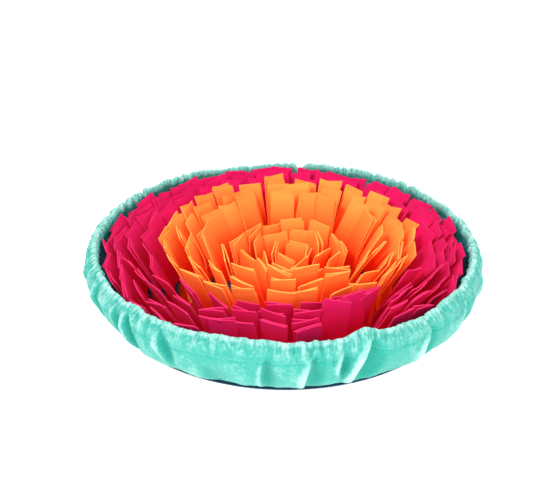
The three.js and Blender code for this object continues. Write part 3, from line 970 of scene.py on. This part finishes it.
# %% Start a tree
FRINGE_INPUTS = {
    "Points": "Geometry",
    "Flap Width": "Float",
    "Felt Thickness": "Float",
    "Steps Across": "Int",
    "Steps Up": "Int",
    "Seed": "Int",
    "Places": "Int",
    "Ring Radius": "Float",
    "Ring Place": "Vector",
    "Ring Turn": "Float",
    "Backing Width": "Float",
    "Backing Thickness": "Float",
    "Felt": "Material",
}


def new_tree(name, inputs):
    """An empty Geometry Nodes tree with named inputs, its input node and each input's identifier."""
    tree = bpy.data.node_groups.new(name, "GeometryNodeTree")
    identifiers = {}
    for label, kind in inputs.items():
        socket = tree.interface.new_socket(label, in_out="INPUT", socket_type="NodeSocket" + kind)
        identifiers[label] = socket.identifier
    tree.interface.new_socket("Geometry", in_out="OUTPUT", socket_type="NodeSocketGeometry")
    return tree, add_node(tree, "NodeGroupInput").outputs, identifiers


print("sizes that a fringe takes:", ", ".join(FRINGE_INPUTS))

# %% [markdown]
# ## A plain strip on every point
# Felt is cut from a flat sheet, so a plain strip is a box. Its cut faces are marked for the shader
# before it is copied, and each corner keeps its place in the box as an attribute. Strips cut by
# hand are never quite the same width, and their ends aren't quite square, so each point gets
# a width, a slant and a shade by chance, with a fixed seed.

# %% Plain strips and their differences
STORE = "GeometryNodeStoreNamedAttribute"
NUMBER = {"data_type": "FLOAT", "domain": "POINT"}
VECTOR = {"data_type": "FLOAT_VECTOR", "domain": "POINT"}
DIFFERENCES = {"width": (0.94, 1.03), "slant": (-0.09, 0.09), "shade": (0.62, 0.82)}
ID_STEP = 1000  # keeps the numbers drawn for one attribute apart from those for the next


def plain_strip(tree, given):
    """A box of size 1, with `cut` on its cut faces and `in_box` at its corners."""
    look = {"Vertices X": given["Steps Across"], "Vertices Y": 2, "Vertices Z": given["Steps Up"]}
    box = add_node(tree, "GeometryNodeMeshCube", None, look)
    normal = add_node(tree, "GeometryNodeInputNormal")
    facing = add_node(tree, "ShaderNodeSeparateXYZ", None, {0: normal}).outputs["Y"]
    thin_way = add_node(tree, MATH, "ABSOLUTE", {0: facing})
    is_cut = add_node(tree, MATH, "LESS_THAN", {0: thin_way, 1: 0.5})
    cut_faces = {"Geometry": box, "Name": "cut", "Value": is_cut}
    marked = add_node(tree, STORE, {"data_type": "FLOAT", "domain": "FACE"}, cut_faces)
    place = add_node(tree, "GeometryNodeInputPosition")
    return add_node(tree, STORE, VECTOR, {"Geometry": marked, "Name": "in_box", "Value": place})


def different_points(tree, given):
    """The given points, each with a width, a slant and a shade by chance."""
    points = given["Points"]
    order = add_node(tree, "GeometryNodeInputIndex")
    for k, (name, (low, high)) in enumerate(DIFFERENCES.items()):
        own = add_node(tree, "FunctionNodeIntegerMath", "ADD", {0: order, 1: k * ID_STEP})
        draw = {"Min": low, "Max": high, "ID": own, "Seed": given["Seed"]}
        chance = add_node(tree, "FunctionNodeRandomValue", {"data_type": "FLOAT"}, draw)
        points = add_node(tree, STORE, NUMBER, {"Geometry": points, "Name": name, "Value": chance})
    return points


print("drawn by chance:", ", ".join(DIFFERENCES))

# %% [markdown]
# ## The knee
# A strip's middle line runs from its root to its tip, with a hump at the knee. The hump is the
# lower of two straight slopes, joined softly, so that the felt bends in one place and is straight
# above and below it. A plain arc looked like soft cloth instead.

# %% Middle line of a strip
KNEE = 0.3  # how far up a flap bends: below it the flap stands, above it the flap leans outward
KNEE_ROUNDING = 0.6
KNEE_START, KNEE_END = 0.6 * KNEE, 1.4 * KNEE  # where the strip's direction turns


def share_up(tree, in_box, slant):
    """How far up its strip a corner is: 0 at the root and about 1 at the tip."""
    skew = add_node(tree, MATH, "MULTIPLY_ADD", {0: in_box["X"], 1: slant, 2: 1.0})
    from_root = add_node(tree, MATH, "ADD", {0: in_box["Z"], 1: 0.5})
    return add_node(tree, MATH, "MULTIPLY", {0: from_root, 1: skew})


def middle_line(tree, strip, t):
    """Where a strip's middle line is at share t, and which way it heads there."""
    rest = add_node(tree, MATH, "SUBTRACT", {0: 1.0, 1: t})
    climbing = add_node(tree, MATH, "DIVIDE", {0: t, 1: KNEE})
    falling = add_node(tree, MATH, "DIVIDE", {0: rest, 1: 1 - KNEE})
    hump = add_node(tree, MATH, "SMOOTH_MIN", {0: climbing, 1: falling, 2: KNEE_ROUNDING})
    risen = add_node(tree, VECTOR_MATH, "SCALE", {0: strip["reach"], "Scale": t})
    humped = add_node(tree, VECTOR_MATH, "SCALE", {0: strip["sag"], "Scale": hump})
    straight = add_node(tree, VECTOR_MATH, "ADD", {0: strip["root"], 1: risen})
    middle = add_node(tree, VECTOR_MATH, "ADD", {0: straight, 1: humped})

    slopes = {"To Min": 1 / KNEE, "To Max": -1 / (1 - KNEE)}
    turning = {"Value": t, "From Min": KNEE_START, "From Max": KNEE_END, **slopes}
    slope = add_node(tree, "ShaderNodeMapRange", None, turning)
    leaning = add_node(tree, VECTOR_MATH, "SCALE", {0: strip["sag"], "Scale": slope})
    along = add_node(tree, VECTOR_MATH, "ADD", {0: strip["reach"], 1: leaning})
    return middle, along


print(f"the knee is {KNEE:.0%} of the way up")

# %% [markdown]
# ## Width, thickness, curl and cup
# Each corner is moved off the middle line along two directions that are square to it, across the
# felt and through it, so a leaning strip stays a sheet of even thickness. Curl bends the tip
# over, and cup bends both edges the same way, as felt does that was rolled up in a packet.

# %% Corners of a strip
CUP_FULL = 4.0  # makes the cup full at the edges, which are half a width from the middle


def directions(tree, strip, t, along):
    """The unit directions across a strip and through its felt, square to where it heads."""
    swung = add_node(tree, VECTOR_MATH, "SCALE", {0: strip["swing"], "Scale": t})
    level_across = add_node(tree, VECTOR_MATH, "ADD", {0: strip["across"], 1: swung})
    crossed = add_node(tree, VECTOR_MATH, "CROSS_PRODUCT", {0: along, 1: level_across})
    through = add_node(tree, VECTOR_MATH, "NORMALIZE", {0: crossed})
    crossed = add_node(tree, VECTOR_MATH, "CROSS_PRODUCT", {0: through, 1: along})
    across = add_node(tree, VECTOR_MATH, "NORMALIZE", {0: crossed})
    return across, through


def off_middle(tree, given, strip, in_box, t, across, through):
    """How far a corner is from the middle line."""
    width = add_node(tree, MATH, "MULTIPLY", {0: given["Flap Width"], 1: strip["width"]})
    sideways = add_node(tree, MATH, "MULTIPLY", {0: in_box["X"], 1: width})
    thick = add_node(tree, MATH, "MULTIPLY", {0: in_box["Y"], 1: given["Felt Thickness"]})
    cube = add_node(tree, MATH, "POWER", {0: t, 1: 3.0})
    curled = add_node(tree, MATH, "MULTIPLY_ADD", {0: cube, 1: strip["curl"], 2: thick})
    square = add_node(tree, MATH, "MULTIPLY", {0: in_box["X"], 1: in_box["X"]})
    edgeward = add_node(tree, MATH, "MULTIPLY", {0: square, 1: CUP_FULL})
    upward = add_node(tree, MATH, "MULTIPLY", {0: edgeward, 1: t})
    cupped = add_node(tree, MATH, "MULTIPLY_ADD", {0: upward, 1: strip["cup"], 2: curled})
    wide = add_node(tree, VECTOR_MATH, "SCALE", {0: across, "Scale": sideways})
    deep = add_node(tree, VECTOR_MATH, "SCALE", {0: through, "Scale": cupped})
    return add_node(tree, VECTOR_MATH, "ADD", {0: wide, 1: deep})


print("a corner is moved across its strip and through its felt")

# %% [markdown]
# ## The backing strip
# The flaps are sewn to a narrow band that runs round under their roots. A rectangle swept along a
# circle makes it, in the same tree, so that each ring stays one piece.

# %% Backing and the whole tree
def backing_strip(tree, given):
    """A band round the ring, with a corner for each flap."""
    look = {"Resolution": given["Places"], "Radius": given["Ring Radius"]}
    circle = add_node(tree, "GeometryNodeCurvePrimitiveCircle", None, look)
    turned = add_node(tree, "ShaderNodeCombineXYZ", None, {"Z": given["Ring Turn"]})
    look = {"Geometry": circle, "Translation": given["Ring Place"], "Rotation": turned}
    ring_path = add_node(tree, "GeometryNodeTransform", None, look)
    upright_path = add_node(tree, "GeometryNodeSetCurveNormal", {"mode": "Z_UP"}, {0: ring_path})
    look = {"Width": given["Backing Width"], "Height": given["Backing Thickness"]}
    section = add_node(tree, "GeometryNodeCurvePrimitiveQuadrilateral", None, look)
    look = {"Curve": upright_path, "Profile Curve": section}
    return add_node(tree, "GeometryNodeCurveToMesh", None, look)


def fringe_tree():
    """Plain strips on points, made real and bent into flaps, with a backing under them."""
    tree, given, identifiers = new_tree("felt_fringe", FRINGE_INPUTS)
    look = {"Points": different_points(tree, given), "Instance": plain_strip(tree, given)}
    placed = add_node(tree, "GeometryNodeInstanceOnPoints", None, look)
    strips = add_node(tree, "GeometryNodeRealizeInstances", None, {0: placed})

    kinds = {**POSE_KINDS, "width": "FLOAT", "slant": "FLOAT", "in_box": "FLOAT_VECTOR"}
    strip = {
        name: add_node(tree, "GeometryNodeInputNamedAttribute", {"data_type": kind}, {"Name": name})
        for name, kind in kinds.items()
    }
    in_box = add_node(tree, "ShaderNodeSeparateXYZ", None, {0: strip["in_box"]}).outputs
    t = share_up(tree, in_box, strip["slant"])
    strips = add_node(tree, STORE, NUMBER, {"Geometry": strips, "Name": "from_root", "Value": t})
    middle, along = middle_line(tree, strip, t)
    across, through = directions(tree, strip, t, along)
    off = off_middle(tree, given, strip, in_box, t, across, through)
    place = add_node(tree, VECTOR_MATH, "ADD", {0: middle, 1: off})
    lowest = (-1.0, -1.0, BASE_THICKNESS + CLEARANCE)  # no corner of a root sinks into the base
    pressed = add_node(tree, VECTOR_MATH, "MAXIMUM", {0: place, 1: lowest})
    flaps = add_node(tree, "GeometryNodeSetPosition", None, {"Geometry": strips, "Position": pressed})

    both = add_node(tree, "GeometryNodeJoinGeometry", None, {0: flaps})
    tree.links.new(backing_strip(tree, given).outputs["Mesh"], both.inputs[0])
    real = add_node(tree, "GeometryNodeRealizeInstances", None, {0: both})
    finish = add_node(tree, "GeometryNodeSetMaterial", None, {0: real, "Material": given["Felt"]})
    add_node(tree, "NodeGroupOutput", None, {0: finish})
    return tree, identifiers


fringe, fringe_sockets = fringe_tree()
print("fringe tree:", len(fringe.nodes), "nodes")

# %% [markdown]
# ## Growing the rings
# One tree serves all ten rings, and only its inputs change from ring to ring. They are set by
# their identifiers before the modifier first runs. The result is kept as a plain mesh, because
# the export takes meshes, and the object that carried the modifier is removed.

# %% Grow all the rings
STEPS_ACROSS, STEPS_UP = 5, 10


def grown(name, source, tree, identifiers, values):
    """Runs a tree on a mesh and keeps the result as a plain mesh of its own."""
    carrier = add_object("carrier", source)
    modifier = carrier.modifiers.new("nodes", "NODES")
    modifier.node_group = tree
    for label, value in values.items():
        modifier[identifiers[label]] = value
    ready = carrier.evaluated_get(bpy.context.evaluated_depsgraph_get())
    mesh = bpy.data.meshes.new_from_object(ready)
    mesh.name = name
    bpy.data.objects.remove(carrier)
    return add_object(name, mesh)


def ring_of_felt(ring, row, material):
    """Grows one ring of the fringe."""
    poses = layer_poses(ring, row)
    points = bpy.data.meshes.new("roots")
    points.from_pydata([pose["root"] for pose in poses], [], [])
    for name, kind in POSE_KINDS.items():
        values = np.array([pose[name] for pose in poses], np.float32).ravel()
        layer = points.attributes.new(name, kind, "POINT")
        layer.data.foreach_set("value" if kind == "FLOAT" else "vector", values)
    low = BASE_THICKNESS + CLEARANCE + BACKING_THICKNESS / 2
    piece = grown(ring.name, points, fringe, fringe_sockets, {
        "Flap Width": FLAP_WIDTH,
        "Felt Thickness": FELT_THICKNESS,
        "Steps Across": STEPS_ACROSS,
        "Steps Up": STEPS_UP,
        "Seed": row,
        "Places": ring.flaps,
        "Ring Radius": ring.root / math.cos(math.pi / ring.flaps),
        "Ring Place": (ring.shift, 0, low),
        "Ring Turn": math.radians(ring.turn),
        "Backing Width": BACKING_WIDTH[fringe_of(ring)],
        "Backing Thickness": BACKING_THICKNESS,
        "Felt": material,
    })
    for name in [*POSE_KINDS, "in_box", "width", "slant"]:
        if name in piece.data.attributes:
            piece.data.attributes.remove(piece.data.attributes[name])
    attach(piece, "root")
    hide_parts(*[f"{ring.name}_arc{k + 1}" for k in range(ring.arcs)])
    return piece


for row, ring in enumerate(RINGS):
    felt_kind = magenta_felt if ring.name.startswith("magenta") else orange_felt
    piece = ring_of_felt(ring, row, felt_kind)
    print(piece.name, len(piece.data.polygons), "faces")

# %% [markdown]
# ## Sewing thread
# A lockstitch holds the casing closed. Its thread is spun from short polyester fibres, which
# leaves it a little fuzzy and matt, and the plies that are twisted together turn every 0.8 mm,
# drawn here as a soft change of tint.

# %% Thread
PLY_TURN = 0.0008

thread, thread_tree, thread_shader = new_material("spun_polyester_thread_mint")
thread_place = add_node(thread_tree, "ShaderNodeTexCoord").outputs["Object"]
look = {"Vector": thread_place, "Scale": 1 / PLY_TURN, "Detail": 2.0}
ply = add_node(thread_tree, "ShaderNodeTexNoise", None, look)
look = {"Factor": ply, "A": to_linear("4cb8a7"), "B": to_linear("78cbbc")}
thread_tint = add_node(thread_tree, "ShaderNodeMix", {"data_type": "RGBA"}, look)
thread_tree.links.new(thread_tint.outputs["Result"], thread_shader.inputs["Base Color"])
thread_shader.inputs["Roughness"].default_value = 0.45
thread_shader.inputs["Sheen Weight"].default_value = 0.2
print("thread:", thread.name)

# %% [markdown]
# ## Stitching
# The stitches are 2.9 mm long and 3.6 mm apart from start to start, each a little sunk where the
# needle went in. Geometry Nodes put a rounded bead of thread on each place of a row of points on
# the wall, stretch it and turn it along the seam. A bead has few faces, as there are hundreds.

# %% A bead on each point
STITCH_INPUTS = {
    "Points": "Geometry",
    "Stitch Length": "Float",
    "Thread Radius": "Float",
    "Thread": "Material",
}


def stitch_tree():
    """A bead of thread on each point, turned along the seam."""
    tree, given, identifiers = new_tree("stitches", STITCH_INPUTS)
    look = {"Segments": 8, "Rings": 6, "Radius": given["Thread Radius"]}
    bead = add_node(tree, "GeometryNodeMeshUVSphere", None, look)
    long = add_node(tree, MATH, "DIVIDE", {0: given["Stitch Length"], 1: given["Thread Radius"]})
    half_long = add_node(tree, MATH, "DIVIDE", {0: long, 1: 2.0})
    size = add_node(tree, "ShaderNodeCombineXYZ", None, {"X": 1.0, "Y": 1.0, "Z": half_long})
    vector = {"data_type": "FLOAT_VECTOR"}
    seam_way = add_node(tree, "GeometryNodeInputNamedAttribute", vector, {"Name": "seam"})
    aimed = add_node(tree, "FunctionNodeAlignRotationToVector", {"axis": "Z"}, {"Vector": seam_way})
    look = {"Points": given["Points"], "Instance": bead, "Rotation": aimed, "Scale": size}
    placed = add_node(tree, "GeometryNodeInstanceOnPoints", None, look)
    real = add_node(tree, "GeometryNodeRealizeInstances", None, {0: placed})
    finish = add_node(tree, "GeometryNodeSetMaterial", None, {0: real, "Material": given["Thread"]})
    add_node(tree, "NodeGroupOutput", None, {0: finish})
    return tree, identifiers


stitch_nodes, stitch_sockets = stitch_tree()
print("stitch tree:", len(stitch_nodes.nodes), "nodes")

# %% [markdown]
# ## The seam
# The stitches follow the wall wherever its puckers go, so each place on the seam comes from the
# same function as the wall does, and the way that the seam runs there comes from two places
# close to either side.

# %% Sew the casing
STITCH_PITCH = 0.0036
STITCH_LENGTH = 0.0029
THREAD_RADIUS = 0.0003
STITCH_UP = HEM_START + 0.012
STITCH_LIFT = 0.1  # mm from the face of the cloth to the middle of the thread

stitch_count = round(math.tau * path[np.searchsorted(path_share, STITCH_UP), 0] / STITCH_PITCH)
stitch_share = np.arange(stitch_count) / stitch_count
near = 0.25 / stitch_count
seam_places = wall_points(stitch_share, STITCH_UP, -STITCH_LIFT * MM, 0.0)
seam_ahead = wall_points(stitch_share + near, STITCH_UP, 0.0, 0.0)
seam_ways = seam_ahead - wall_points(stitch_share - near, STITCH_UP, 0.0, 0.0)
seam = bpy.data.meshes.new("seam")
seam.from_pydata(seam_places, [], [])
ways = seam.attributes.new("seam", "FLOAT_VECTOR", "POINT")
ways.data.foreach_set("vector", seam_ways.astype(np.float32).ravel())
stitches = grown("casing_stitches", seam, stitch_nodes, stitch_sockets, {
    "Stitch Length": STITCH_LENGTH,
    "Thread Radius": THREAD_RADIUS,
    "Thread": thread,
})
stitches.data.shade_smooth()
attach(stitches, "root")
print(stitch_count, "stitches,", len(stitches.data.polygons), "faces")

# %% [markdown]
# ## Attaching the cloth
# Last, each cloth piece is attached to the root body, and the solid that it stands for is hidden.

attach(wall, "root")
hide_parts("wall_panel")

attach(base, "root")
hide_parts("base_panel")
